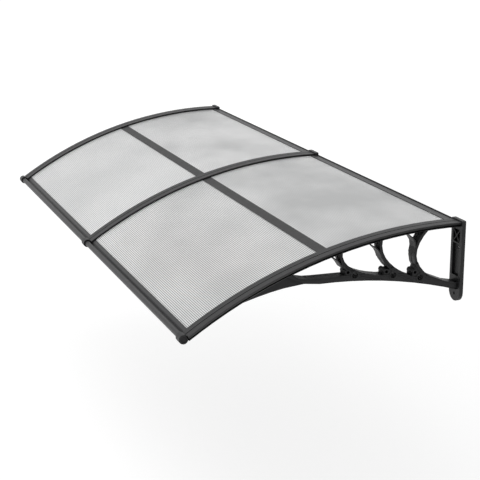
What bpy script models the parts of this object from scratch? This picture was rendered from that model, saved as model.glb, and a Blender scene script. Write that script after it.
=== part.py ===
"""Two-bay door canopy: twin-wall polycarbonate sheets carried by three moulded brackets.

X runs along the wall, Y out of the wall (the front is at -Y) and Z up, in metres. The origin is the
middle of the flat back of the middle bracket's wall plate. The roof is an arc about a line parallel
to X, so its pieces are drawn in (angle, rise): the angle from the crown towards the front, and the
height over the arm's top, square to it.
"""

import math

import bmesh
import bpy
from mathutils import Vector

# How many sides or steps the round forms have
BAR_SIDES = 16
HOLE_SIDES = 16
SMALL_SIDES = 10
ARM_STEPS = 20
CRESCENT_STEPS = 8
BRANCH_STEPS = 4
FOOT_STEPS = 10

# Roof
BAY = 1.000
ROOF_RADIUS = 1.414
CROWN_Y = -0.040
CROWN_Z = 0.1156
FIT = 0.0003

# Arm section, half widths and rises
CAP_HALF = 0.0258
CAP_TOP = 0.0015
CAP_CHAMFER = 0.0016
CAP_UNDER_HALF = 0.0222
NECK_HALF = 0.0125
GROOVE_HALF = 0.0016
GROOVE_FLOOR = -0.0008
SLOT_TOP = -0.0054
SLOT_FLOOR = -0.0100
SLOT_REACH = 0.0220
FLANGE_HALF = 0.0205
KEEL_HALF = 0.0175
ARM_KEEL = -0.0130

# Front collar and the tube that it holds
COLLAR_ANGLE = math.radians(34.08)
COLLAR_RISE = -0.001
COLLAR_RADIUS = 0.0133
COLLAR_HALF = 0.014
COLLAR_WALL_HALF = 0.0015
ARM_TO_AXIS = 0.0095
TUBE_RADIUS = 0.0085
TUBE_WALL = 0.0016

# Wall plate
PLATE_HALF = 0.0295
PLATE_THICK = 0.0117
PLATE_TOP = 0.1205
PLATE_BOTTOM = -0.120
PLATE_CHAMFER = 0.002
CHANNEL_HALF = 0.0185
CHANNEL_DEPTH = 0.007
CHANNEL_SPAN = (-0.044, 0.050)
POCKET_SPAN = (0.054, 0.092)
POCKET_RIB = 0.002
WALL_HOLES = (-0.098, 0.038)
WALL_HOLE_RADIUS = 0.0046

# Lower frame, half widths
BEAM_HALF = 0.0165
BEAM_CORE_HALF = 0.0130
BEAM_BAND = 0.0038
BOSS_HALF = 0.0178
LIP_HALF = 0.0185
LIP_DEPTH = 0.0028
WEB_HALF = 0.002
HOLE_RADIUS = 0.009
BOSS_RADIUS = 0.0128
KNUCKLE_RADIUS = 0.0078
KNUCKLE_RECESS = 0.0048
RECESS_FLOOR = 0.006
CUT_REACH = 0.030

# Crescent struts: a ribbon along the front of a stem that widens downwards
RIBBON_HALF = 0.0180
RIBBON_THICK = 0.0032
RIBBON_GROOVE = 0.0010
STEM_TOP_HALF = 0.0090
STEM_LOW_HALF = 0.0155
STRUT_DROP = 0.0115

# Each crescent: where its wall side starts under the arm and the rest of that side's Bezier, its
# thickness at the top and at the foot, the Bezier of the ribbon that forks off its front and where
# that ends under the arm, its round knuckle, and the hole at its foot
CRESCENTS = (
    {
        "top": -0.370,
        "back": ((-0.379, 0.022), (-0.322, -0.004), (-0.250, -0.0140)),
        "thick": (0.0110, 0.0140),
        "fork": ((-0.373, 0.020), (-0.381, 0.033), (-0.385, 0.041)),
        "fork_top": -0.4065,
        "knuckle": (-0.3575, 0.0060),
        "hole": (-0.336, -0.0048),
    },
    {
        "top": -0.248,
        "back": ((-0.263, 0.035), (-0.212, -0.004), (-0.150, -0.0310)),
        "thick": (0.0110, 0.0135),
        "fork": ((-0.2535, 0.034), (-0.259, 0.052), (-0.262, 0.062)),
        "fork_top": -0.2945,
        "knuckle": (-0.2395, -0.0045),
        "hole": (-0.218, -0.0170),
    },
    {
        "top": -0.104,
        "back": ((-0.158, 0.052), (-0.158, 0.002), (-0.098, -0.0335)),
        "thick": (0.0145, 0.0105),
        "fork": ((-0.1535, 0.036), (-0.1455, 0.066), (-0.150, 0.080)),
        "fork_top": -0.1765,
        "knuckle": (-0.1500, -0.0160),
        "hole": (-0.133, -0.0330),
    },
)

# Lower beam: its underside is an arc, its top runs from the wall to the nose
BEAM_RADIUS = 1.340
BEAM_CROWN = (-0.428, -0.0190)
BEAM_TOP = (
    (-0.011, -0.062), (-0.048, -0.054), (-0.103, -0.0305), (-0.150, -0.0300), (-0.186, -0.0160),
    (-0.257, -0.0130), (-0.300, -0.0050), (-0.369, -0.0020), (-0.455, -0.0005), (-0.481, 0.0008),
    (-0.505, 0.0058), (-0.520, 0.0165),
)
NOSE = ((-0.508, -0.0050), (-0.488, -0.0132))
NOSE_TOPS = (-0.532, -0.541)
FRONT_WEB = (
    (-0.696, -0.0600), (-0.618, -0.0390), (-0.579, -0.0300), (-0.540, -0.0230), (-0.487, -0.0178),
    (-0.460, -0.0162), (-0.480, -0.0060), (-0.512, 0.0050), (-0.526, 0.0120),
)
WEB_TOP = (-0.540, -0.700)

# Sheets
SHEET_TOP = SLOT_TOP - FIT
SHEET_UNDER = SLOT_FLOOR + FIT
SKIN = 0.0006
RIB = 0.0007
FLUTE_PITCH = 0.0220
SHEET_HALF = BAY / 2 - NECK_HALF - FIT

# Bars
BAR_WALL = 0.0016
BAR_TOP = SLOT_TOP + BAR_WALL
BAR_UNDER = SLOT_FLOOR - BAR_WALL
BAR_HALF = BAY / 2 - CAP_HALF - FIT
LIP_WIDTH = 0.0150
LIP_TO_AXIS = 0.0135
GUTTER_TOP = -0.0064
JOINER_ANGLE = math.radians(15.36)
JOINER_HALF = 0.015
JOINER_WEB_HALF = 0.001
REAR_BAR_HALF = BAY / 2 - PLATE_HALF - FIT
REAR_BAR_BACK = 0.0012
REAR_BAR_WEB = 0.0123
REAR_BAR_FRONT = 0.030
REAR_RIDGE = 0.0022

# End plugs: how far out from the collar's end, and how much under the collar's radius
PLUG_STEM = 0.009
PLUG_FACE = ((0.0, 0.0006), (0.0014, 0.0006), (0.0028, 0.0026), (0.0028, 0.0052), (0.0010, 0.0062))

# Front bar screws
SCREW_RADIUS = 0.0017
SCREW_HEAD_RADIUS = 0.0035
SCREW_HEAD = 0.0022
SCREW_LENGTH = 0.0090
SCREW_PLACE = 0.008

BLACK = (0.045, 0.045, 0.048, 1.0)
GREY = (0.100, 0.100, 0.104, 1.0)
CLEAR = (0.80, 0.82, 0.83, 1.0)
STEEL = (0.55, 0.55, 0.55, 1.0)
SHARP_ANGLE = math.radians(32)


def clear_scene():
    """Removes every object that the file opened with."""
    for obj in list(bpy.data.objects):
        bpy.data.objects.remove(obj, do_unlink=True)


def finish(name, colour, roughness, metallic=0.0, alpha=1.0):
    """One sub-part's own material."""
    made = bpy.data.materials.new(name + "_finish")
    made.use_nodes = True
    shader = made.node_tree.nodes["Principled BSDF"]
    shader.inputs["Base Color"].default_value = colour
    shader.inputs["Roughness"].default_value = roughness
    shader.inputs["Metallic"].default_value = metallic
    shader.inputs["Alpha"].default_value = alpha
    return made


def roof(angle, rise):
    """(y, z) of the point at this angle from the crown and this rise over the arm's top."""
    radius = ROOF_RADIUS + rise
    return (
        CROWN_Y - radius * math.sin(angle),
        CROWN_Z - ROOF_RADIUS + radius * math.cos(angle),
    )


def angle_at(y):
    """Angle from the crown of the arm's top at this y."""
    return math.asin((CROWN_Y - y) / ROOF_RADIUS)


def in_arm(y):
    """(y, z) of the point in the arm's keel at this y, where struts end."""
    return y, roof(angle_at(y), 0)[1] - STRUT_DROP


def spread(first, last, steps):
    """Evenly spaced values from first to last, both included."""
    return [first + (last - first) * i / steps for i in range(steps + 1)]


def bezier(points, t):
    """Point of the Bezier curve with these control points at t."""
    while len(points) > 1:
        points = [
            tuple(a + (b - a) * t for a, b in zip(one, two)) for one, two in zip(points, points[1:])
        ]
    return points[0]


def circle(y, z, radius, sides):
    """Outline of a round in a plane."""
    turns = [2 * math.pi * i / sides for i in range(sides)]
    return [(y + radius * math.cos(t), z + radius * math.sin(t)) for t in turns]


def object_of(name, bm):
    """Turns a bmesh into an object with its faces pointing out."""
    bmesh.ops.recalc_face_normals(bm, faces=bm.faces)
    mesh = bpy.data.meshes.new(name)
    bm.to_mesh(mesh)
    bm.free()
    obj = bpy.data.objects.new(name, mesh)
    bpy.context.scene.collection.objects.link(obj)
    return obj


def push(bm, faces, offset):
    """Extrudes flat faces by an offset into a closed solid."""
    grown = bmesh.ops.extrude_face_region(bm, geom=faces, use_keep_orig=True)
    moved = [part for part in grown["geom"] if isinstance(part, bmesh.types.BMVert)]
    bmesh.ops.translate(bm, verts=moved, vec=offset)


def prism(name, outline, low, high):
    """Solid of a closed (y, z) outline between two X planes."""
    bm = bmesh.new()
    face = bm.faces.new([bm.verts.new((low, y, z)) for y, z in outline])
    push(bm, [face], (high - low, 0, 0))
    return object_of(name, bm)


def slab(name, outline, back, front):
    """Solid of a closed (x, z) outline between two Y planes."""
    bm = bmesh.new()
    face = bm.faces.new([bm.verts.new((x, back, z)) for x, z in outline])
    push(bm, [face], (0, front - back, 0))
    return object_of(name, bm)


def loft(name, rings):
    """Solid through rings of points, all with the same count, closed by a cap at each end."""
    bm = bmesh.new()
    loops = [[bm.verts.new(point) for point in ring] for ring in rings]
    count = len(rings[0])
    for one, two in zip(loops, loops[1:]):
        for i in range(count):
            j = (i + 1) % count
            bm.faces.new((one[i], one[j], two[j], two[i]))
    bm.faces.new(loops[0])
    bm.faces.new(loops[-1])
    return object_of(name, bm)


def mirrored(side):
    """Closed outline of one side's (x, height) points and their mirror image in x."""
    return side + [(-x, height) for x, height in reversed(side)]


def baked(base, joined, cut, solver="EXACT"):
    """Mesh of base with the joined solids added and the cut solids taken away; removes them all."""
    for operation, solids in (("UNION", joined), ("DIFFERENCE", cut)):
        if not solids:
            continue
        group = bpy.data.collections.new(operation)
        for solid in solids:
            group.objects.link(solid)
        change = base.modifiers.new(operation, "BOOLEAN")
        change.operation = operation
        change.solver = solver
        change.operand_type = "COLLECTION"
        change.collection = group
    bpy.context.view_layer.update()
    graph = bpy.context.evaluated_depsgraph_get()
    mesh = bpy.data.meshes.new_from_object(base.evaluated_get(graph))
    for obj in (base, *joined, *cut):
        bpy.data.objects.remove(obj, do_unlink=True)
    return mesh


def dress(obj, material):
    """Gives an object its material and smooth shading between its sharp edges."""
    obj.data.materials.clear()
    obj.data.materials.append(material)
    obj.data.shade_smooth()
    obj.data.set_sharp_from_angle(angle=SHARP_ANGLE)


def place(name, mesh, x, material):
    """A named object of this mesh, x along the wall."""
    obj = bpy.data.objects.new(name, mesh)
    obj.location = (x, 0, 0)
    bpy.context.scene.collection.objects.link(obj)
    dress(obj, material)


def arm_angles():
    """Angles of the arm's sections, from inside the wall plate to just behind the collar."""
    return spread(angle_at(-PLATE_THICK / 2), COLLAR_ANGLE - ARM_TO_AXIS / ROOF_RADIUS, ARM_STEPS)


def arm():
    """The curved arm: grooved cap, a slot for the sheets on each side, and a keel."""
    section = mirrored([
        (GROOVE_HALF, GROOVE_FLOOR), (GROOVE_HALF, CAP_TOP), (CAP_HALF - CAP_CHAMFER, CAP_TOP),
        (CAP_HALF, CAP_TOP - CAP_CHAMFER), (CAP_UNDER_HALF, SLOT_TOP), (NECK_HALF, SLOT_TOP),
        (NECK_HALF, SLOT_FLOOR), (FLANGE_HALF, SLOT_FLOOR), (KEEL_HALF, ARM_KEEL),
    ])
    return loft("arm", [[(x, *roof(angle, rise)) for x, rise in section] for angle in arm_angles()])


def slot_clearers():
    """Cutters that keep the struts' tops out of the arm's two slots."""
    cuts = []
    for side in (-1, 1):
        near, far = side * NECK_HALF, side * SLOT_REACH
        section = ((near, SLOT_FLOOR), (far, SLOT_FLOOR), (far, SLOT_TOP), (near, SLOT_TOP))
        rings = [[(x, *roof(angle, rise)) for x, rise in section] for angle in arm_angles()[1:-2]]
        cuts.append(loft("slot", rings))
    return cuts


def collar():
    """Round end of the arm, which holds the front tube."""
    y, z = roof(COLLAR_ANGLE, COLLAR_RISE)
    return prism("collar", circle(y, z, COLLAR_RADIUS, BAR_SIDES), -COLLAR_HALF, COLLAR_HALF)


def collar_bores():
    """Blind bores from both ends of the collar, and the room beside it for a plug's rim."""
    y, z = roof(COLLAR_ANGLE, COLLAR_RISE)
    cuts = []
    for radius, start in ((TUBE_RADIUS, COLLAR_WALL_HALF), (COLLAR_RADIUS, COLLAR_HALF)):
        outline = circle(y, z, radius + FIT, BAR_SIDES)
        cuts.append(prism("bore_right", outline, start, 2 * COLLAR_HALF))
        cuts.append(prism("bore_left", outline, -2 * COLLAR_HALF, -start))
    return cuts


def plate():
    """Wall plate with a round foot."""
    centre = PLATE_BOTTOM + PLATE_HALF
    foot = spread(math.pi, 2 * math.pi, FOOT_STEPS)
    outline = [(PLATE_HALF * math.cos(t), centre + PLATE_HALF * math.sin(t)) for t in foot]
    outline += [
        (PLATE_HALF, PLATE_TOP - PLATE_CHAMFER), (PLATE_HALF - PLATE_CHAMFER, PLATE_TOP),
        (PLATE_CHAMFER - PLATE_HALF, PLATE_TOP), (-PLATE_HALF, PLATE_TOP - PLATE_CHAMFER),
    ]
    return slab("plate", outline, 0, -PLATE_THICK)


def plate_cuts():
    """The channel down the plate's front, the four pockets between two crossed ribs, and the wall holes."""
    low, high = CHANNEL_SPAN
    outlines = [[(-CHANNEL_HALF, low), (CHANNEL_HALF, low), (CHANNEL_HALF, high), (-CHANNEL_HALF, high)]]
    low, high = POCKET_SPAN
    middle = Vector((0, (low + high) / 2))
    half = Vector((CHANNEL_HALF, (high - low) / 2))
    corners = [middle + Vector((a * half.x, b * half.y)) for a, b in ((1, 1), (-1, 1), (-1, -1), (1, -1))]
    for one, two in zip(corners, corners[1:] + corners[:1]):
        along = (two - one).normalized() * POCKET_RIB
        outward = ((one + two) / 2 - middle).normalized() * POCKET_RIB
        outlines.append([tuple(one + along), tuple(two - along), tuple(middle + outward)])
    cuts = [slab("pocket", outline, CHANNEL_DEPTH - PLATE_THICK, -2 * PLATE_THICK) for outline in outlines]
    for height in WALL_HOLES:
        outline = circle(0, height, WALL_HOLE_RADIUS, SMALL_SIDES)
        cuts.append(slab("wall_hole", outline, PLATE_THICK, -2 * PLATE_THICK))
    return cuts


def beam_under(y):
    """Height of the beam's underside at this y."""
    return BEAM_CROWN[1] - (y - BEAM_CROWN[0]) ** 2 / (2 * BEAM_RADIUS)


def beam():
    """Lower beam from the wall plate to the nose in the arm, with a set-back band under it."""
    span = spread(-0.440, -PLATE_THICK / 2, 9)
    nose_top = [in_arm(y) for y in NOSE_TOPS]
    parts = []
    for name, half, band in (("beam_core", BEAM_CORE_HALF, 0), ("beam", BEAM_HALF, BEAM_BAND)):
        under = [(y, beam_under(y) + band) for y in span]
        nose = [(y, z + band) for y, z in NOSE]
        parts.append(prism(name, nose + under + list(BEAM_TOP) + nose_top, -half, half))
    return parts


def beam_lip():
    """Wider lip along the beam's top."""
    lower = [(y, z - LIP_DEPTH) for y, z in reversed(BEAM_TOP)]
    return prism("beam_lip", list(BEAM_TOP) + lower, -LIP_HALF, LIP_HALF)


def front_web():
    """Thin web from the beam's nose forward under the arm."""
    top = [in_arm(y) for y in spread(*WEB_TOP, 5)]
    return prism("front_web", list(FRONT_WEB) + top, -WEB_HALF, WEB_HALF)


def crescent_back(shape):
    """Control points of a crescent's wall side, from the arm down."""
    return (in_arm(shape["top"]), *shape["back"])


def crescent(number, shape):
    """Curved strut from the arm to the beam: a grooved ribbon on the front of a stem."""
    rings = []
    top_thick, low_thick = shape["thick"]
    back = crescent_back(shape)
    for t in spread(0, 1, CRESCENT_STEPS):
        y, z = bezier(back, t)
        ahead = Vector(bezier(back, min(t + 0.01, 1)))
        along = (ahead - Vector(bezier(back, max(t - 0.01, 0)))).normalized()
        to_front = Vector((along.y, -along.x))
        thick = low_thick + (top_thick - low_thick) * max(0, 1 - 2 * t)
        half = STEM_TOP_HALF + (STEM_LOW_HALF - STEM_TOP_HALF) * t
        section = mirrored([
            (GROOVE_HALF, thick - RIBBON_GROOVE), (2 * GROOVE_HALF, thick), (RIBBON_HALF, thick),
            (RIBBON_HALF, thick - RIBBON_THICK), (half, thick - 1.5 * RIBBON_THICK), (half, 0),
        ])
        rings.append([(x, y + to_front.x * depth, z + to_front.y * depth) for x, depth in section])
    return loft(f"crescent_{number}", rings)


def fork(number, shape):
    """Ribbon that leaves a crescent's front and curves up to the arm."""
    curve = (*shape["fork"], in_arm(shape["fork_top"]))
    points = [Vector(bezier(curve, t)) for t in spread(0, 1, BRANCH_STEPS)]
    front = []
    back = []
    for i, point in enumerate(points):
        along = (points[min(i + 1, BRANCH_STEPS)] - points[max(i - 1, 0)]).normalized()
        across = Vector((along.y, -along.x)) * RIBBON_THICK / 2
        front.append(tuple(point + across))
        back.append(tuple(point - across))
    return prism(f"fork_{number}", front + back[::-1], -RIBBON_HALF, RIBBON_HALF)


def root(number, shape):
    """Foot of a crescent: a filled web, a ring round the hole and a round knuckle in front."""
    y, z = shape["hole"]
    front_y, front_z = shape["knuckle"]
    back = crescent_back(shape)
    outline = [
        (front_y - KNUCKLE_RADIUS, front_z - KNUCKLE_RADIUS / 2), (front_y, front_z + KNUCKLE_RADIUS / 2),
        bezier(back, 0.62), bezier(back, 0.72), bezier(back, 0.84),
        (back[-1][0], beam_under(back[-1][0]) + BEAM_BAND), (y, beam_under(y) + BEAM_BAND),
        (front_y - KNUCKLE_RADIUS, beam_under(front_y) + BEAM_BAND),
    ]
    return [
        prism(f"root_{number}", outline, -BEAM_HALF, BEAM_HALF),
        prism(f"boss_{number}", circle(y, z, BOSS_RADIUS, HOLE_SIDES), -BOSS_HALF, BOSS_HALF),
        prism(f"knuckle_{number}", circle(front_y, front_z, KNUCKLE_RADIUS, SMALL_SIDES), -LIP_HALF, LIP_HALF),
    ]


def root_cuts(number, shape):
    """The through hole of a crescent's foot and the blind recesses of its knuckle."""
    outline = circle(*shape["hole"], HOLE_RADIUS, HOLE_SIDES)
    cuts = [prism(f"hole_{number}", outline, -CUT_REACH, CUT_REACH)]
    recess = circle(*shape["knuckle"], KNUCKLE_RECESS, SMALL_SIDES)
    for low, high in ((-CUT_REACH, -RECESS_FLOOR), (RECESS_FLOOR, CUT_REACH)):
        cuts.append(prism(f"recess_{number}", recess, low, high))
    return cuts


def stem(name, x, profile):
    """Turned solid square to the roof under the collar, of (rise, radius) pairs, at this x."""
    rings = []
    for rise, radius in profile:
        y, z = roof(COLLAR_ANGLE, rise)
        rings.append([
            (x + a, y + b * math.cos(COLLAR_ANGLE), z + b * math.sin(COLLAR_ANGLE))
            for a, b in circle(0, 0, radius, SMALL_SIDES)
        ])
    return loft(name, rings)


def screw_hole(x):
    """Cutter for a front bar screw, up into the middle of the tube."""
    radius = SCREW_RADIUS + FIT
    return stem("screw_hole", x, ((COLLAR_RISE - 2 * COLLAR_RADIUS, radius), (COLLAR_RISE, radius)))


def bracket_mesh():
    """The whole bracket, one moulding."""
    joined = [collar(), plate(), beam_lip(), front_web(), *beam()]
    cut = collar_bores() + plate_cuts() + slot_clearers()
    for number, shape in enumerate(CRESCENTS):
        joined.append(crescent(number, shape))
        joined.append(fork(number, shape))
        joined.extend(root(number, shape))
        cut.extend(root_cuts(number, shape))
    cut.extend(screw_hole(x) for x in (-SCREW_PLACE, SCREW_PLACE))
    # The exact solver leaves open edges where this many solids meet.
    return baked(arm(), joined, cut, "MANIFOLD")


def sheet(name, first, last, x):
    """Twin-wall sheet between two angles, with its flutes open at both ends."""
    cells = round((last - first) * ROOF_RADIUS / FLUTE_PITCH)
    pitch = (last - first) / cells
    half_rib = RIB / 2 / ROOF_RADIUS
    bm = bmesh.new()

    def corner(angle, rise):
        return bm.verts.new((x - SHEET_HALF, *roof(angle, rise)))

    top = [corner(first + i * pitch, SHEET_TOP) for i in range(cells + 1)]
    under = [corner(first + i * pitch, SHEET_UNDER) for i in range(cells + 1)]
    faces = []
    last_void = None
    for i in range(cells):
        start = first + i * pitch + (half_rib if i else 2 * half_rib)
        end = first + (i + 1) * pitch - (half_rib if i < cells - 1 else 2 * half_rib)
        void = [
            corner(start, SHEET_TOP - SKIN), corner(end, SHEET_TOP - SKIN),
            corner(end, SHEET_UNDER + SKIN), corner(start, SHEET_UNDER + SKIN),
        ]
        faces.append(bm.faces.new((top[i], top[i + 1], void[1], void[0])))
        faces.append(bm.faces.new((void[3], void[2], under[i + 1], under[i])))
        if last_void:
            rib = (top[i], void[0], void[3], under[i], last_void[2], last_void[1])
        else:
            rib = (top[i], void[0], void[3], under[i])
        faces.append(bm.faces.new(rib))
        last_void = void
    faces.append(bm.faces.new((top[-1], under[-1], last_void[2], last_void[1])))
    push(bm, faces, (2 * SHEET_HALF, 0, 0))
    dress(object_of(name, bm), finish(name, CLEAR, 0.35, alpha=0.55))


def tongue(name, first, last):
    """Web of a bar that runs on into the slots of both arms."""
    outline = [roof(first, SHEET_TOP), roof(last, SHEET_TOP), roof(last, SHEET_UNDER), roof(first, SHEET_UNDER)]
    return prism(name, outline, -SHEET_HALF, SHEET_HALF)


def roof_box(name, first, last, low, high, half=BAR_HALF):
    """Straight box between two angles and two rises, along a bar."""
    outline = [roof(first, low), roof(last, low), roof(last, high), roof(first, high)]
    return prism(name, outline, -half, half)


def joiner_mesh():
    """H-section between the rear sheet and the front sheet."""
    reach = JOINER_HALF / ROOF_RADIUS
    web = JOINER_WEB_HALF / ROOF_RADIUS
    base = tongue("joiner", JOINER_ANGLE - web, JOINER_ANGLE + web)
    flanges = [
        roof_box("top", JOINER_ANGLE - reach, JOINER_ANGLE + reach, SLOT_TOP, BAR_TOP),
        roof_box("under", JOINER_ANGLE - reach, JOINER_ANGLE + reach, BAR_UNDER, SLOT_FLOOR),
        roof_box("core", JOINER_ANGLE - web, JOINER_ANGLE + web, SLOT_FLOOR - FIT, SLOT_TOP + FIT),
    ]
    return baked(base, flanges, [])


def rear_bar_mesh():
    """Box at the wall with a channel in front of it for the sheet's rear edge."""
    back, web, front = (angle_at(-y) for y in (REAR_BAR_BACK, REAR_BAR_WEB, REAR_BAR_FRONT))
    wall = BAR_WALL / ROOF_RADIUS
    half = REAR_BAR_HALF
    base = tongue("rear_bar", web, web + wall)
    parts = [
        roof_box("top", back, front, SLOT_TOP, BAR_TOP, half),
        roof_box("under", back, front, BAR_UNDER, SLOT_FLOOR, half),
        roof_box("core", web, web + wall, SLOT_FLOOR - FIT, SLOT_TOP + FIT, half),
        roof_box("back", back, back + wall, SLOT_FLOOR - FIT, SLOT_TOP + FIT, half),
        roof_box("ridge", back, back + 2 * wall, BAR_TOP - FIT, BAR_TOP + REAR_RIDGE, half),
    ]
    return baked(base, parts, [])


def front_bar_mesh():
    """Channel for the sheet's front edge, joined by a gutter floor to the round front tube."""
    lip_front = COLLAR_ANGLE - LIP_TO_AXIS / ROOF_RADIUS
    lip_back = lip_front - LIP_WIDTH / ROOF_RADIUS
    wall = BAR_WALL / ROOF_RADIUS
    y, z = roof(COLLAR_ANGLE, COLLAR_RISE)
    tube_half = BAY / 2 - COLLAR_WALL_HALF - FIT
    base = prism("front_bar", circle(y, z, TUBE_RADIUS, BAR_SIDES), -tube_half, tube_half)
    parts = [
        roof_box("lip", lip_back, lip_front, SLOT_TOP, BAR_TOP),
        roof_box("under", lip_back, lip_front, BAR_UNDER, SLOT_FLOOR),
        roof_box("back", lip_front - wall, lip_front, SLOT_FLOOR - FIT, SLOT_TOP + FIT),
        roof_box("gutter", lip_front - wall, COLLAR_ANGLE, GUTTER_TOP - BAR_WALL, GUTTER_TOP),
        tongue("web", lip_front - 0.8 * wall, lip_front - 0.2 * wall),
    ]
    cut = [prism("hollow", circle(y, z, TUBE_RADIUS - TUBE_WALL, BAR_SIDES), -BAY, BAY)]
    cut.extend(screw_hole(side * (BAY / 2 - SCREW_PLACE)) for side in (-1, 1))
    return baked(base, parts, cut)


def end_plug(name, side):
    """Plug that closes the outer end of an end bracket's collar."""
    y, z = roof(COLLAR_ANGLE, COLLAR_RISE)
    seat = side * (BAY + COLLAR_HALF + FIT)
    turned = [(-PLUG_STEM, TUBE_RADIUS), (0, TUBE_RADIUS)]
    turned += [(out, COLLAR_RADIUS - less) for out, less in PLUG_FACE]
    rings = [
        [(seat + side * out, *point) for point in circle(y, z, radius, BAR_SIDES)] for out, radius in turned
    ]
    dress(loft(name, rings), finish(name, BLACK, 0.5))


def bar_screw(name, x):
    """Pan-head screw up through the collar into the front tube."""
    seat = COLLAR_RISE - COLLAR_RADIUS - FIT
    profile = (
        (seat - SCREW_HEAD, SCREW_HEAD_RADIUS * 0.6), (seat - SCREW_HEAD * 0.5, SCREW_HEAD_RADIUS),
        (seat, SCREW_HEAD_RADIUS), (seat, SCREW_RADIUS), (seat + SCREW_LENGTH, SCREW_RADIUS),
    )
    dress(stem(name, x, profile), finish(name, STEEL, 0.3, 1.0))


def build_bay(bay, x, bars):
    """The sheets, bars and screws between two brackets."""
    gap = FIT / ROOF_RADIUS
    rear_edge = angle_at(-REAR_BAR_WEB) + BAR_WALL / ROOF_RADIUS + gap
    joiner_gap = JOINER_WEB_HALF / ROOF_RADIUS + gap
    front_edge = COLLAR_ANGLE - (LIP_TO_AXIS + BAR_WALL) / ROOF_RADIUS - gap
    sheet(f"sheet_{bay}_rear", rear_edge, JOINER_ANGLE - joiner_gap, x)
    sheet(f"sheet_{bay}_front", JOINER_ANGLE + joiner_gap, front_edge, x)
    for kind, mesh in bars:
        name = f"{kind}_{bay}"
        place(name, mesh.copy(), x, finish(name, GREY, 0.42, 0.3))
    outward = math.copysign(1, x)
    for end, side in (("outer", outward), ("inner", -outward)):
        bar_screw(f"front_bar_screw_{bay}_{end}", x + side * (BAY / 2 - SCREW_PLACE))


def main():
    clear_scene()
    moulding = bracket_mesh()
    for name, x in (("bracket_left", -BAY), ("bracket_middle", 0), ("bracket_right", BAY)):
        place(name, moulding.copy(), x, finish(name, BLACK, 0.5))
    bars = (("joiner", joiner_mesh()), ("rear_bar", rear_bar_mesh()), ("front_bar", front_bar_mesh()))
    build_bay("left", -BAY / 2, bars)
    build_bay("right", BAY / 2, bars)
    end_plug("end_plug_left", -1)
    end_plug("end_plug_right", 1)


if __name__ == "__main__":
    main()
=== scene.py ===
"""Looks for the two-bay polycarbonate door canopy: its fluted sheets, its finishes, light and camera.

Everything is in metres: X along the wall, the front at -Y and Z up. The roof is an arc about a line
parallel to X, so a place on it is an angle from the crown towards the front.
"""

from __future__ import annotations

import logging
import math
from dataclasses import dataclass, field
from enum import Enum

import bpy
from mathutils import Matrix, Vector

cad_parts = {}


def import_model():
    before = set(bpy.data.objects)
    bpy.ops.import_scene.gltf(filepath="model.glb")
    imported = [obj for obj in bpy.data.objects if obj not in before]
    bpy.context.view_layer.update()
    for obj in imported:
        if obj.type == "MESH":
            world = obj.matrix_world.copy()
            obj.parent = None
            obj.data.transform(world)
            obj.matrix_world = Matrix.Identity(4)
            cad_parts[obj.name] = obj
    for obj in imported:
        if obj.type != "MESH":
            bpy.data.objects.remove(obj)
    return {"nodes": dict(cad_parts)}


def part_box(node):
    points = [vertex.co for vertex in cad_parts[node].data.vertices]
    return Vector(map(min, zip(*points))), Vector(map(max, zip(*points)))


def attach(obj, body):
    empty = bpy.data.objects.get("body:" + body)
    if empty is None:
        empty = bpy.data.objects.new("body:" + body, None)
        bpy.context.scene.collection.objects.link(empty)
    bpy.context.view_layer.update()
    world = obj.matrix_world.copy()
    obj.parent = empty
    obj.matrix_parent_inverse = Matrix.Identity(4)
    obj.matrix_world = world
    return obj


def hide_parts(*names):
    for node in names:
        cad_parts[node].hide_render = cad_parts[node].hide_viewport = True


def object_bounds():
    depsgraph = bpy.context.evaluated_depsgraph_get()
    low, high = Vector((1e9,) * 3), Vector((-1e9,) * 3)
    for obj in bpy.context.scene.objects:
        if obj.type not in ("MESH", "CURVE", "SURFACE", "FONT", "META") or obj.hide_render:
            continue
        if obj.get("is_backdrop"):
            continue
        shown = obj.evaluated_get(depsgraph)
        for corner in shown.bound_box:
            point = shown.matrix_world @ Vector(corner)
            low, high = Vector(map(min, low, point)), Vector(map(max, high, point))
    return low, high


log = logging.getLogger("canopy")

MILLIMETRE = 0.001
WHITE = (1.0, 1.0, 1.0, 1.0)

# Painted groove shade: how far off a surface still shades a groove, the tone of that painted shade, and the
# share of open sky that is no groove
PAINTED_SHADE_REACH = 9 * MILLIMETRE
PAINTED_SHADE_TONE = "#08080a"
OPEN_SKY = 0.95
EDGE_RADIUS = 0.8 * MILLIMETRE
# Y and z of the middle of the gutter between the front bar's lip and its tube, round which shade is painted
GUTTER = (-0.8215, -0.1236)

Triple = tuple[float, float, float]
Inputs = dict[str | int, object]


class Group(Enum):
    """Which nodes share a finish, by the start of their names; the screws' is longer, so it comes first."""

    SCREW = "front_bar_screw_"
    FRONT_BAR = "front_bar_"
    REAR_BAR = "rear_bar_"
    JOINER = "joiner_"
    BRACKET = "bracket_"
    SHEET = "sheet_"
    PLUG = "end_plug_"


class Look(Enum):
    """Each sheet's tones, over its ribs and in its duller patches, as painted light and painted reflection,
    since the sheets are one material: the near front one's ribs stand out.
    """

    SHEET_LEFT_REAR = ("#9c9d9d", "#c4c5c5")
    SHEET_LEFT_FRONT = ("#9a9b9b", "#eaebeb")
    SHEET_RIGHT_REAR = ("#b0b1b1", "#c2c3c3")
    SHEET_RIGHT_FRONT = ("#464747", "#e2e3e3")


def linear(code: str) -> tuple[float, float, float, float]:
    """Scene colour of an sRGB hex code.

    Args:
        code: Six hex digits, with or without a leading hash.

    Returns:
        Linear red, green, blue and an alpha of one.
    """
    digits = code.lstrip("#")
    parts = [int(digits[i : i + 2], 16) / 255 for i in (0, 2, 4)]
    red, green, blue = (p / 12.92 if p <= 0.04045 else ((p + 0.055) / 1.055) ** 2.4 for p in parts)
    return red, green, blue, 1.0


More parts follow.
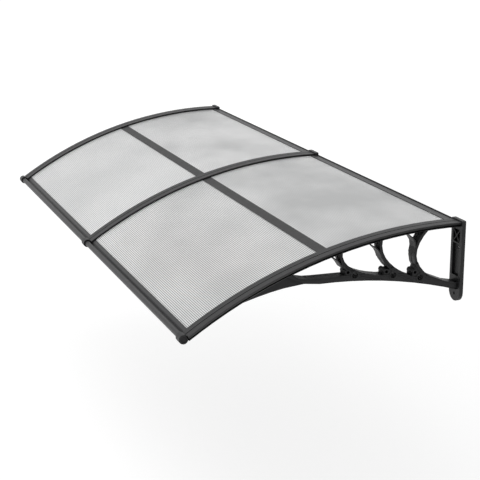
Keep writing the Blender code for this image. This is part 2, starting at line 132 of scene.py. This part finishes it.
class Graph:
    """A material's or a world's nodes, with one short way to add a linked node."""

    def __init__(self, owner: bpy.types.Material | bpy.types.World) -> None:
        """Turns the owner's nodes on."""
        owner.use_nodes = True
        self.tree = owner.node_tree

    def add(self, kind: str, inputs: Inputs | None = None, **settings: object) -> bpy.types.Node:
        """Adds a node.

        Args:
            kind: Node type name.
            inputs: Input socket name or number to a value or to the output socket that feeds it.
            **settings: Properties of the node itself.

        Returns:
            The new node.
        """
        node = self.tree.nodes.new(kind)
        for name, value in settings.items():
            setattr(node, name, value)
        self.feed(node, inputs or {})
        return node

    def feed(self, node: bpy.types.Node, inputs: Inputs) -> None:
        """Sets or links a node's inputs.

        Args:
            node: The node.
            inputs: Input socket name or number to a value or to the output socket that feeds it.
        """
        for name, value in inputs.items():
            if isinstance(value, bpy.types.NodeSocket):
                self.tree.links.new(value, node.inputs[name])
            else:
                node.inputs[name].default_value = value

    def spots(self, size: float, stretch: Triple = (1, 1, 1)) -> bpy.types.NodeSocket:
        """Cloudy pattern of a real size on Object coordinates.

        Args:
            size: Size of its spots in metres.
            stretch: How many times longer the spots are along each axis.

        Returns:
            The pattern's value socket.
        """
        place = self.add("ShaderNodeTexCoord").outputs["Object"]
        scale = tuple(1 / (size * times) for times in stretch)
        sized = self.add("ShaderNodeMapping", {"Vector": place, "Scale": scale}).outputs["Vector"]
        return self.add("ShaderNodeTexNoise", {"Vector": sized, "Scale": 1.0, "Detail": 3.0}).outputs["Fac"]

    def two_tone_and_painted_shade(
        self, amount: bpy.types.NodeSocket, dark: str, light: str, closed: float = 0.45
    ) -> bpy.types.NodeSocket:
        """Colour between two tones, with painted shade: it turns nearly black where a gap or a groove keeps
        the light out.

        Args:
            amount: Output socket from 0, the dark tone, to 1, the light one.
            dark: sRGB hex code of the dark tone.
            light: sRGB hex code of the light tone.
            closed: Share of open sky at which the painted shade in a groove is at its darkest.

        Returns:
            The colour's output socket.
        """
        tone = self.add("ShaderNodeMix", {0: amount, 6: linear(dark), 7: linear(light)}, data_type="RGBA")
        # Painted shade: ambient occlusion darkens grooves, gaps and recesses towards the shade tone.
        sky = self.add("ShaderNodeAmbientOcclusion", {"Distance": PAINTED_SHADE_REACH}, samples=6).outputs["AO"]
        lit = self.add("ShaderNodeMapRange", {"Value": sky, "From Min": closed, "From Max": OPEN_SKY})
        return self.add(
            "ShaderNodeMix",
            {0: lit.outputs["Result"], 6: linear(PAINTED_SHADE_TONE), 7: tone.outputs[2]},
            data_type="RGBA",
        ).outputs[2]

    def relief(self, height: bpy.types.NodeSocket, depth: float) -> bpy.types.NodeSocket:
        """Normal of a fine relief on edges that are a little rounded, as a mould or a die leaves them.

        Args:
            height: Output socket of the relief's height, from 0 to 1.
            depth: Real depth of the relief.

        Returns:
            The normal's output socket.
        """
        rounded = self.add("ShaderNodeBevel", {"Radius": EDGE_RADIUS}, samples=4).outputs["Normal"]
        return self.add(
            "ShaderNodeBump", {"Height": height, "Distance": depth, "Strength": 1.0, "Normal": rounded}
        ).outputs["Normal"]


@dataclass(frozen=True)
class MouldedNylon:
    """Glass-filled nylon from a spark-eroded mould: dull, with a fine pitted grain and cloudy flow marks,
    and painted shade in its grooves and gaps.

    Args:
        name: Material name.
        dark: sRGB hex code of the darker flow marks.
        light: sRGB hex code of the lighter ones.
        roughness: Middle roughness.
        spread: How much rougher or smoother the grain makes it.
        specular: Specular level, low because the grain scatters the gloss.
        grain: Width of the pits.
        depth: Depth of the pits.
        clouds: Size of the flow marks.
        flow: How many times longer the marks are along each axis.
    """

    name: str
    dark: str
    light: str
    roughness: float = 0.46
    spread: float = 0.08
    specular: float = 0.24
    # Real pits are 0.1 mm wide; they are drawn coarser to show.
    grain: float = 1.1 * MILLIMETRE
    depth: float = 0.05 * MILLIMETRE
    clouds: float = 22 * MILLIMETRE
    flow: Triple = (3, 1, 1)

    def build(self) -> bpy.types.Material:
        """Makes the material.

        Returns:
            The material.
        """
        made = bpy.data.materials.new(self.name)
        graph = Graph(made)
        pits = graph.spots(self.grain)
        rough = graph.add("ShaderNodeMapRange", {
            "Value": pits,
            "To Min": self.roughness - self.spread,
            "To Max": self.roughness + self.spread,
        })
        graph.feed(made.node_tree.nodes["Principled BSDF"], {
            "Base Color": graph.two_tone_and_painted_shade(graph.spots(self.clouds, self.flow), self.dark, self.light),
            "Roughness": rough.outputs["Result"],
            "Specular IOR Level": self.specular,
            "Normal": graph.relief(pits, self.depth),
        })
        return made


@dataclass(frozen=True)
class CoatedAluminium:
    """Extruded aluminium under a satin coat: even colour with faint lines along the bar from the die, and
    painted shade in its grooves and, where it has one, along its gutter.

    Args:
        name: Material name.
        dark: sRGB hex code in the die lines.
        light: sRGB hex code between them.
        metallic: How much of the metal shows through the coat.
        roughness: Roughness of the coat.
        smoother: How much smoother it gets in places.
        rougher: How much rougher it gets in places.
        places: Size of those places.
        specular: Specular level of the satin coat.
        line: Width of a die line.
        run: How many times longer than wide a die line is.
        depth: Depth of a die line.
        closed: Share of open sky at which the painted shade in a groove is at its darkest.
        gutter: Y and z of the middle of a deep gutter along X, where shade is painted because no light
            reaches it.
        gutter_reach: How far the gutter's painted shade reaches from there.
        gutter_fade: Part of that reach over which it fades in and out.
    """

    name: str
    dark: str
    light: str
    metallic: float = 0.15
    roughness: float = 0.40
    smoother: float = 0.06
    rougher: float = 0.08
    places: float = 14 * MILLIMETRE
    specular: float = 0.22
    # Real die lines are 0.2 mm wide; they are drawn coarser to show.
    line: float = 0.9 * MILLIMETRE
    run: float = 400
    depth: float = 0.03 * MILLIMETRE
    closed: float = 0.72
    gutter: tuple[float, float] | None = None
    gutter_reach: float = 6.6 * MILLIMETRE
    gutter_fade: float = 0.15

    def build(self) -> bpy.types.Material:
        """Makes the material.

        Returns:
            The material.
        """
        made = bpy.data.materials.new(self.name)
        graph = Graph(made)
        lines = graph.spots(self.line, (self.run, 1, 1))
        rough = graph.add("ShaderNodeMapRange", {
            "Value": graph.spots(self.places),
            "To Min": self.roughness - self.smoother,
            "To Max": self.roughness + self.rougher,
        })
        graph.feed(made.node_tree.nodes["Principled BSDF"], {
            "Base Color": self._painted_gutter_shade(graph, graph.two_tone_and_painted_shade(lines, self.dark, self.light, self.closed)),
            "Metallic": self.metallic,
            "Specular IOR Level": self.specular,
            "Roughness": rough.outputs["Result"],
            "Normal": graph.relief(lines, self.depth),
        })
        return made

    def _painted_gutter_shade(self, graph: Graph, colour: bpy.types.NodeSocket) -> bpy.types.NodeSocket:
        """Paints shade into the gutter: a dark band along X round its middle.

        Args:
            graph: The material's nodes.
            colour: Output socket of the colour elsewhere.

        Returns:
            The colour's output socket.
        """
        if self.gutter is None:
            return colour
        # Painted shade: near the gutter's middle the colour turns to the shade tone.
        place = graph.add("ShaderNodeTexCoord").outputs["Object"]
        section = graph.add("ShaderNodeMapping", {"Vector": place, "Scale": (0, 1, 1)}).outputs["Vector"]
        away = graph.add("ShaderNodeVectorMath", {0: section, 1: (0, *self.gutter)}, operation="DISTANCE")
        out = graph.add("ShaderNodeMapRange", {
            "Value": away.outputs["Value"],
            "From Min": (1 - self.gutter_fade) * self.gutter_reach,
            "From Max": (1 + self.gutter_fade) * self.gutter_reach,
        })
        return graph.add(
            "ShaderNodeMix", {0: out.outputs["Result"], 6: linear(PAINTED_SHADE_TONE), 7: colour}, data_type="RGBA"
        ).outputs[2]


@dataclass(frozen=True)
class ZincSteel:
    """Zinc-plated steel of the screws: bright, with a fine turned grain, and painted shade in its recesses.

    Args:
        name: Material name.
        dark: sRGB hex code of the grain.
        light: sRGB hex code of the plating.
        smooth: Roughness in the grain.
        rough: Roughness between the grain.
        grain: Width of the grain.
    """

    name: str
    dark: str = "#8e9092"
    light: str = "#c4c6c8"
    smooth: float = 0.22
    rough: float = 0.38
    # Real turning marks are 0.1 mm apart; they are drawn coarser to show.
    grain: float = 0.4 * MILLIMETRE

    def build(self) -> bpy.types.Material:
        """Makes the material.

        Returns:
            The material.
        """
        made = bpy.data.materials.new(self.name)
        graph = Graph(made)
        grain = graph.spots(self.grain)
        rough = graph.add(
            "ShaderNodeMapRange", {"Value": grain, "To Min": self.smooth, "To Max": self.rough}
        )
        graph.feed(made.node_tree.nodes["Principled BSDF"], {
            "Base Color": graph.two_tone_and_painted_shade(grain, self.dark, self.light),
            "Metallic": 1.0,
            "Roughness": rough.outputs["Result"],
        })
        return made


@dataclass(frozen=True)
class Roof:
    """The arc that the sheets and the arms follow.

    Args:
        radius: Radius of the arms' tops.
        crown_y: Where the crown is.
        crown_z: Height of the arms' tops at the crown.
    """

    radius: float = 1.414
    crown_y: float = -0.040
    crown_z: float = 0.1156

    @property
    def centre_z(self) -> float:
        """Height of the arc's centre line."""
        return self.crown_z - self.radius

    def angle(self, y: float, rise: float) -> float:
        """Angle of a place on the roof.

        Args:
            y: Its y.
            rise: Its height over the arms' tops, square to the roof.

        Returns:
            The angle from the crown towards the front, in radians.
        """
        return math.asin((self.crown_y - y) / (self.radius + rise))


@dataclass(frozen=True)
class FlutedPolycarbonate:
    """Extruded twin-wall polycarbonate: a milky see-through plastic, and its ribs show as fine lines.

    Args:
        name: Material name.
        roof: The arc that the flutes follow.
        pitch: Width of a flute.
        first: Angle of a rib.
        look: The sheet's tones, which paint how light and reflection fall on it.
        skin: sRGB hex code over a flute.
        patch: Size of the duller patches, which are rougher and carry a painted reflection tone.
        stretch: How many times longer they are along each axis.
        dull: Values of the cloudy pattern where a patch starts and where it is full.
        smooth: Roughness of the clean skin.
        rough: Roughness of a dull patch.
        bending: How much it bends light, as polycarbonate does.
        clear: How much light goes through.
        line: Height of the wave over a rib from which it shows, between -1 and 1.
        bulge: How high the skin stands over a rib.
        softness: How much of that shows.
    """

    name: str
    roof: Roof
    pitch: float
    first: float
    look: Look
    skin: str = "#fafafa"
    patch: float = 260 * MILLIMETRE
    stretch: Triple = (1.6, 1, 1)
    dull: tuple[float, float] = (0.35, 0.68)
    # Both stay over 0.28, because a see-through skin whose roughness crosses 0.27 renders with thin cracks.
    smooth: float = 0.29
    rough: float = 0.38
    bending: float = 1.585
    clear: float = 0.30
    line: float = 0.25
    bulge: float = 0.12 * MILLIMETRE
    softness: float = 0.6

    def build(self) -> bpy.types.Material:
        """Makes the material.

        Returns:
            The material.
        """
        made = bpy.data.materials.new(self.name)
        graph = Graph(made)
        ribs = self._ribs(graph)
        rib_tone, painted_reflection_tone = self.look.value
        full, whole = self.dull
        patches = graph.add("ShaderNodeMapRange", {
            "Value": graph.spots(self.patch, self.stretch), "From Min": full, "From Max": whole,
        }).outputs["Result"]
        # Painted reflection: the duller patches turn the skin to the sheet's reflection tone, and their
        # roughness changes too.
        skin = graph.add(
            "ShaderNodeMix", {0: patches, 6: linear(self.skin), 7: linear(painted_reflection_tone)}, data_type="RGBA"
        )
        colour = graph.add(
            "ShaderNodeMix", {0: ribs, 6: skin.outputs[2], 7: linear(rib_tone)}, data_type="RGBA"
        )
        bump = graph.add(
            "ShaderNodeBump", {"Height": ribs, "Distance": self.bulge, "Strength": self.softness}
        )
        rough = graph.add(
            "ShaderNodeMapRange", {"Value": patches, "To Min": self.smooth, "To Max": self.rough}
        )
        graph.feed(made.node_tree.nodes["Principled BSDF"], {
            "Base Color": colour.outputs[2],
            "Roughness": rough.outputs["Result"],
            "IOR": self.bending,
            "Transmission Weight": self.clear,
            "Normal": bump.outputs["Normal"],
        })
        return made

    def _ribs(self, graph: Graph) -> bpy.types.NodeSocket:
        """Lines along X, one over each rib.

        Args:
            graph: The material's nodes.

        Returns:
            A value socket, 1 over a rib and 0 between two.
        """
        per_radian = 2 * math.pi * self.roof.radius / self.pitch
        place = graph.add("ShaderNodeTexCoord").outputs["Object"]
        split = graph.add("ShaderNodeSeparateXYZ", {0: place}).outputs
        ahead = graph.add("ShaderNodeMath", {0: self.roof.crown_y, 1: split["Y"]}, operation="SUBTRACT")
        above = graph.add("ShaderNodeMath", {0: split["Z"], 1: self.roof.centre_z}, operation="SUBTRACT")
        angle = graph.add(
            "ShaderNodeMath", {0: ahead.outputs[0], 1: above.outputs[0]}, operation="ARCTAN2"
        )
        past = graph.add("ShaderNodeMath", {0: angle.outputs[0], 1: self.first}, operation="SUBTRACT")
        phase = graph.add("ShaderNodeMath", {0: past.outputs[0], 1: per_radian}, operation="MULTIPLY")
        wave = graph.add("ShaderNodeMath", {0: phase.outputs[0]}, operation="COSINE")
        return graph.add(
            "ShaderNodeMapRange", {"Value": wave.outputs[0], "From Min": self.line, "From Max": 1.0}
        ).outputs["Result"]


@dataclass
class TwinWallSheet:
    """One bent twin-wall sheet, made of one flute that is repeated round the roof.

    Args:
        node: The solid that it stands for.
        roof: The arc that it follows.
        top: Rise of its upper face.
        under: Rise of its lower face.
        skin: Thickness of its skins, and half a rib.
        pitch: Width of a flute, before it is fitted to the sheet's width.
        weld: How near points have to be to become one.
    """

    node: str
    roof: Roof = field(default_factory=Roof)
    top: float = -5.7 * MILLIMETRE
    under: float = -9.7 * MILLIMETRE
    skin: float = 0.45 * MILLIMETRE
    pitch: float = 5.5 * MILLIMETRE
    weld: float = 0.05 * MILLIMETRE

    def build(self) -> bpy.types.Object:
        """Makes the sheet in place of its solid.

        Returns:
            The sheet.
        """
        low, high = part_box(self.node)
        # Behind the crown the lower face reaches furthest back, and in front of it the upper one.
        rear_rise = self.top if high[1] > self.roof.crown_y else self.under
        first = self.roof.angle(high[1], rear_rise)
        last = self.roof.angle(low[1], self.top)
        count = round((last - first) * self.roof.radius / self.pitch)
        turn = (last - first) / count
        sheet = self._flute(low[0], high[0], turn)
        sheet.rotation_euler = (first + turn / 2, 0, 0)
        self._repeat(sheet, turn, count)
        sheet.name = f"{self.node}_fluted"
        pitch = turn * self.roof.radius
        look = Look[self.node.upper()]
        finish = FlutedPolycarbonate(f"polycarbonate_{self.node}", self.roof, pitch, first, look)
        sheet.data.materials.append(finish.build())
        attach(sheet, "root")
        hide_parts(self.node)
        return sheet

    def _flute(self, left: float, right: float, turn: float) -> bpy.types.Object:
        """Models one flute at the crown, open where the next ones join it.

        Args:
            left: X of its left end.
            right: X of its right end.
            turn: Angle that it takes up.

        Returns:
            The flute, with its origin on the roof's centre line.
        """
        axis = (left, self.roof.crown_y, self.roof.centre_z)
        middle = self.roof.radius + (self.top + self.under) / 2
        width = turn * middle
        bpy.ops.object.select_all(action="DESELECT")
        bpy.ops.mesh.primitive_plane_add(size=1, location=axis, rotation=(0, -math.pi / 2, 0))
        bpy.ops.object.transform_apply(location=False, rotation=True, scale=False)
        bpy.ops.object.mode_set(mode="EDIT")
        bpy.ops.mesh.select_mode(type="FACE")
        bpy.ops.mesh.select_all(action="SELECT")
        bpy.ops.transform.resize(value=(1, width, self.top - self.under), center_override=axis)
        bpy.ops.transform.translate(value=(0, 0, middle))
        bpy.ops.mesh.inset(thickness=self.skin)
        bpy.ops.mesh.delete(type="FACE")
        bpy.ops.mesh.select_all(action="SELECT")
        bpy.ops.mesh.extrude_region_move(TRANSFORM_OT_translate={"value": (right - left, 0, 0)})
        bpy.ops.mesh.select_all(action="DESELECT")
        bpy.ops.object.mode_set(mode="OBJECT")
        flute = bpy.context.object
        # The two outermost upright faces go, because the next flutes join on there.
        for face in flute.data.polygons:
            face.select = abs(face.normal.y) > 0.9 and abs(face.center.y) > 0.45 * width
        bpy.ops.object.mode_set(mode="EDIT")
        bpy.ops.mesh.delete(type="FACE")
        bpy.ops.object.mode_set(mode="OBJECT")
        return flute

    def _repeat(self, sheet: bpy.types.Object, turn: float, count: int) -> None:
        """Repeats the flute round the roof and closes the sheet's two edges.

        Args:
            sheet: The first flute.
            turn: Angle from one flute to the next.
            count: How many flutes there are.
        """
        step = bpy.data.objects.new("step", None)
        bpy.context.scene.collection.objects.link(step)
        step.location = sheet.location
        step.rotation_euler = (sheet.rotation_euler.x + turn, 0, 0)
        bpy.context.view_layer.update()
        array = sheet.modifiers.new("flutes", "ARRAY")
        array.count = count
        array.use_relative_offset = False
        array.use_object_offset = True
        array.offset_object = step
        array.use_merge_vertices = True
        array.merge_threshold = self.weld
        bpy.ops.object.modifier_apply(modifier=array.name)
        bpy.data.objects.remove(step)
        bpy.ops.object.mode_set(mode="EDIT")
        bpy.ops.mesh.select_all(action="SELECT")
        bpy.ops.mesh.fill_holes(sides=0)
        bpy.ops.mesh.select_all(action="SELECT")
        bpy.ops.mesh.normals_make_consistent(inside=False)
        bpy.ops.object.mode_set(mode="OBJECT")
        bpy.ops.object.transform_apply(location=True, rotation=True, scale=True)


@dataclass
class Canopy:
    """The whole canopy: brackets, bars, plugs and screws in their finishes, and the fluted sheets.

    Args:
        nodes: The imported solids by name.
    """

    nodes: dict[str, bpy.types.Object]

    def build(self) -> None:
        """Dresses each solid, or makes the sheet that stands for it."""
        finishes = self._finishes()
        for name, node in self.nodes.items():
            group = next(choice for choice in Group if name.startswith(choice.value))
            if group is Group.SHEET:
                sheet = TwinWallSheet(name).build()
                log.info("%s: %d faces", sheet.name, len(sheet.data.polygons))
                continue
            node.data.materials.clear()
            node.data.materials.append(finishes[group])
            log.info("%s: %s", name, group.name.lower())

    def _finishes(self) -> dict[Group, bpy.types.Material]:
        """Makes the finish of each group but the sheets.

        Returns:
            The materials by group.
        """
        return {
            Group.SCREW: ZincSteel("zinc_plated_steel").build(),
            # The front bar's gutter gets painted shade.
            Group.FRONT_BAR: CoatedAluminium(
                "front_bar_coated", "#2b2b2c", "#3b3b3c", gutter=GUTTER
            ).build(),
            Group.REAR_BAR: CoatedAluminium("rear_bar_coated", "#2a2a2b", "#3a3a3b").build(),
            Group.JOINER: CoatedAluminium("joiner_coated", "#292929", "#343435", 0.1, 0.5).build(),
            Group.BRACKET: MouldedNylon("bracket_nylon", "#1f1f20", "#2e2e2f").build(),
            Group.PLUG: MouldedNylon("plug_nylon", "#1c1c1d", "#2c2c2d", 0.25).build(),
        }


@dataclass(frozen=True)
class Lamp:
    """Square area lamp that faces the canopy.

    Args:
        name: Its name.
        offset: Its place from the canopy's middle.
        side: Length of its side.
        power: Its power in watts.
    """

    name: str
    offset: Triple
    side: float
    power: float

    def build(self, centre: Vector) -> None:
        """Hangs the lamp.

        Args:
            centre: Middle of the canopy.
        """
        light = bpy.data.lights.new(self.name, "AREA")
        light.size = self.side
        light.energy = self.power
        lamp = bpy.data.objects.new(self.name, light)
        lamp.location = centre + Vector(self.offset)
        lamp.rotation_euler = (-Vector(self.offset)).to_track_quat("-Z", "Y").to_euler()
        bpy.context.scene.collection.objects.link(lamp)


@dataclass
class Studio:
    """Camera, floor and soft light.

    Args:
        centre: Middle of the canopy.
        camera_place: Where the camera stands.
        camera_turn: Its Euler angles in degrees.
        lens: Its focal length in millimetres.
        floor_drop: How far the floor lies under the origin.
        floor_side: Length of the floor's side.
        floor_tone: sRGB hex code of the floor.
        floor_glow: How strongly the floor glows far away, for the rays that show the background.
        lamp_share: How much less it glows right under the lamps, which light it there.
        key_height: Height of the key lamp over the floor.
        sky_light: Strength of the sky as a light; it looks white all the same.
        lamps: The lamps.
    """

    centre: Vector
    camera_place: Triple = (4.0745, -1.8498, 1.0492)
    camera_turn: Triple = (74.33, 0.0, 68.958)
    lens: float = 97.25
    floor_drop: float = 0.9
    floor_side: float = 60
    floor_tone: str = "#a4a4a4"
    floor_glow: float = 0.86
    lamp_share: float = 0.14
    key_height: float = 4.1
    sky_light: float = 0.58
    lamps: tuple[Lamp, ...] = (
        Lamp("key", (0.9, -1.3, 3.2), 2.6, 58),
        Lamp("fill", (-0.8, -3.2, 0.1), 2.0, 30),
    )

    def build(self) -> None:
        """Makes the camera, the floor, the sky and the lamps."""
        self._camera()
        self._floor()
        self._sky()
        for lamp in self.lamps:
            lamp.build(self.centre)

    def _camera(self) -> None:
        """Stands the camera where the photo's camera stood."""
        lens = bpy.data.cameras.new("camera")
        lens.lens = self.lens
        camera = bpy.data.objects.new("camera", lens)
        camera.location = self.camera_place
        camera.rotation_euler = [math.radians(turn) for turn in self.camera_turn]
        bpy.context.scene.collection.objects.link(camera)
        bpy.context.scene.camera = camera

    def _seen(self, graph: Graph) -> bpy.types.NodeSocket:
        """Value that is 1 for the rays that show the background and 0 for the rays that light the object.

        Args:
            graph: Nodes of the floor or the sky.

        Returns:
            The value's socket.
        """
        path = graph.add("ShaderNodeLightPath").outputs
        mirrored = graph.add(
            "ShaderNodeMath", {0: path["Is Glossy Ray"], 1: path["Is Transmission Ray"]}, operation="MAXIMUM"
        )
        return graph.add(
            "ShaderNodeMath", {0: mirrored.outputs[0], 1: path["Is Camera Ray"]}, operation="MAXIMUM"
        ).outputs[0]

    def _glow(self, graph: Graph) -> bpy.types.NodeSocket:
        """Strength at which the floor looks white: what the lamps, weaker further out, leave over.

        Args:
            graph: The floor's nodes.

        Returns:
            The strength's socket.
        """
        place = graph.add("ShaderNodeTexCoord").outputs["Object"]
        away = graph.add("ShaderNodeVectorMath", {0: place, 1: place}, operation="DOT_PRODUCT")
        spread = graph.add(
            "ShaderNodeMath",
            {0: away.outputs["Value"], 1: self.key_height**-2, 2: 1.0},
            operation="MULTIPLY_ADD",
        )
        lamplight = graph.add("ShaderNodeMath", {0: spread.outputs[0], 1: -2.0}, operation="POWER")
        missing = graph.add(
            "ShaderNodeMath",
            {0: lamplight.outputs[0], 1: -self.lamp_share, 2: self.floor_glow},
            operation="MULTIPLY_ADD",
        )
        return graph.add(
            "ShaderNodeMath", {0: self._seen(graph), 1: missing.outputs[0]}, operation="MULTIPLY"
        ).outputs[0]

    def _floor(self) -> None:
        """Lays a pale matt floor that looks white and keeps the canopy's shadow."""
        bpy.ops.object.select_all(action="DESELECT")
        bpy.ops.mesh.primitive_plane_add(size=self.floor_side, location=(0, 0, -self.floor_drop))
        floor = bpy.context.object
        floor.name = "floor"
        made = bpy.data.materials.new("pale_floor")
        graph = Graph(made)
        graph.feed(made.node_tree.nodes["Principled BSDF"], {
            "Base Color": linear(self.floor_tone),
            "Roughness": 0.95,
            "Specular IOR Level": 0.0,
            "Emission Color": WHITE,
            "Emission Strength": self._glow(graph),
        })
        floor.data.materials.append(made)
        floor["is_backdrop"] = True

    def _sky(self) -> None:
        """Makes the sky white to look at and dimmer as a light."""
        world = bpy.data.worlds.new("sky")
        bpy.context.scene.world = world
        graph = Graph(world)
        strength = graph.add(
            "ShaderNodeMapRange", {"Value": self._seen(graph), "To Min": self.sky_light, "To Max": 1.0}
        )
        graph.feed(world.node_tree.nodes["Background"], {
            "Color": WHITE,
            "Strength": strength.outputs["Result"],
        })


def bounds() -> list[list[float]]:
    """Box of the canopy now, as plain lists."""
    return [list(corner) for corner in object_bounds()]


def main() -> None:
    """Loads the solids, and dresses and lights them."""
    logging.basicConfig(level=logging.INFO, format="%(message)s")
    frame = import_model()
    before = bounds()
    Canopy(frame["nodes"]).build()
    low, high = (Vector(corner) for corner in before)
    Studio((low + high) / 2).build()
    bpy.context.scene.view_settings.view_transform = "Standard"


if __name__ == "__main__":
    main()
